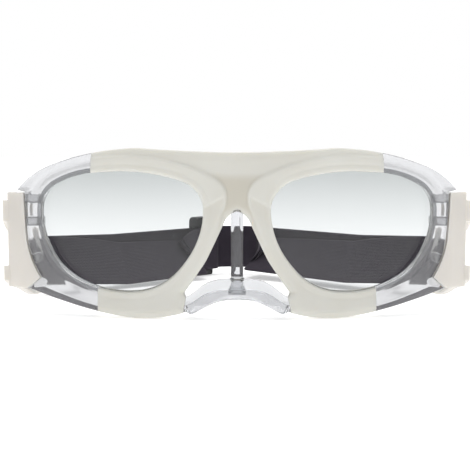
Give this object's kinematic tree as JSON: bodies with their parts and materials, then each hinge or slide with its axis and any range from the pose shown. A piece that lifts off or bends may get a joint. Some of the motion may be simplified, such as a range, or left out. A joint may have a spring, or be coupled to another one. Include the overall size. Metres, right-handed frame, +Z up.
{
  "type": "protective goggles",
  "caption": "Sports protective goggles: clear frame with a soft milky cover, curved clear lenses, folding side arms and an adjustable elastic strap with a slider.",
  "frame": {"origin": "on the surface that the goggles stand on, under the middle of their whole width and depth", "axes": "+X across the face towards the arm without the slider, +Y from the front towards the head, +Z up"},
  "size_m": [0.1666, 0.1298, 0.0583],
  "materials": {
    "clear_plastic": "clear moulded polycarbonate",
    "lens_plastic": "clear, coated, glossy",
    "soft_milky_cover": "translucent milky soft elastomer, satin",
    "milky_arm": "translucent milky plastic, satin",
    "soft_pad": "soft, matte",
    "pin_steel": "plain steel",
    "elastic_strap": "woven elastic webbing",
    "black_plastic": "satin moulded plastic",
    "thread": "sewing thread"
  },
  "bodies": {
    "front": {"front_cover": "soft_milky_cover", "front_frame": "clear_plastic", "hinge_pin_left_lower": "pin_steel", "hinge_pin_left_upper": "pin_steel", "hinge_pin_right_lower": "pin_steel", "hinge_pin_right_upper": "pin_steel", "lens_left": "lens_plastic", "lens_right": "lens_plastic", "nose_saddle": "clear_plastic", "strap_left_inner_rear": "elastic_strap", "strap_left_inner_side": "elastic_strap", "strap_left_outer_side": "elastic_strap", "strap_rear": "elastic_strap", "strap_right_inner_rear": "elastic_strap", "strap_right_inner_side": "elastic_strap", "strap_right_outer_side": "elastic_strap", "strap_stitching": "thread"},
    "arm_left": {"arm_left": "milky_arm", "arm_pad_left": "soft_pad", "strap_left_turn": "elastic_strap"},
    "arm_right": {"arm_right": "milky_arm", "arm_pad_right": "soft_pad", "strap_right_turn": "elastic_strap"},
    "slider": {"strap_slider": "black_plastic", "strap_loop_end": "elastic_strap"}
  },
  "joints": [
    {"name": "arm_left_fold", "type": "hinge", "parent": "front", "child": "arm_left", "pos_m": [-0.0748, -0.0404, 0.026], "axis": [0, 0, -1], "range_deg": [0, 70], "deforming": ["strap_left_outer_side", "strap_left_inner_side"]},
    {"name": "arm_right_fold", "type": "hinge", "parent": "front", "child": "arm_right", "pos_m": [0.0748, -0.0404, 0.026], "axis": [0, 0, 1], "range_deg": [0, 70], "deforming": ["strap_right_outer_side", "strap_right_inner_side"]},
    {"name": "strap_slider_slide", "type": "slide", "parent": "front", "child": "slider", "axis": [-0.7163, -0.6978, 0], "range_m": [0, 0.025], "deforming": ["strap_left_inner_rear"]}
  ]
}
